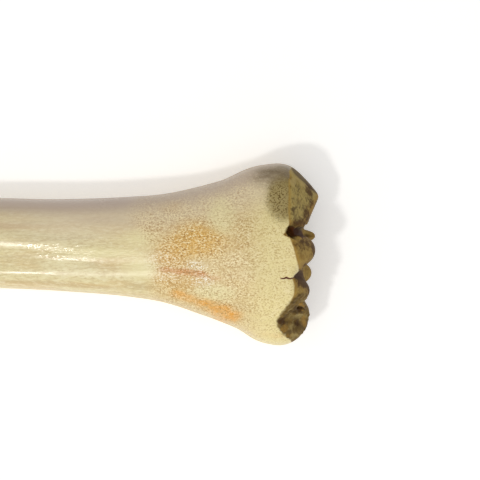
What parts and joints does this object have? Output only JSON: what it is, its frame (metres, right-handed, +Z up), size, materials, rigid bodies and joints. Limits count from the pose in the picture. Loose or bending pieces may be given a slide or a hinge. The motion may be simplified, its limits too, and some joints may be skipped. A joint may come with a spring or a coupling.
{
  "type": "giraffe leg bone",
  "caption": "Polished long bone from a giraffe's fore leg, with a slim bowed shaft, a lobed and pitted carpal end and a shallow-dished elbow end.",
  "frame": {"origin": "on the surface that the bone lies on, under the middle of its length and width", "axes": "+X along the bone towards its carpal end, +Y towards its outer side, +Z up from its front face, which it lies on, to its back face"},
  "size_m": [0.5401, 0.0797, 0.0521],
  "materials": {
    "polished_bone": "satin"
  },
  "bodies": {
    "root": {"bone": "polished_bone"}
  },
  "joints": []
}
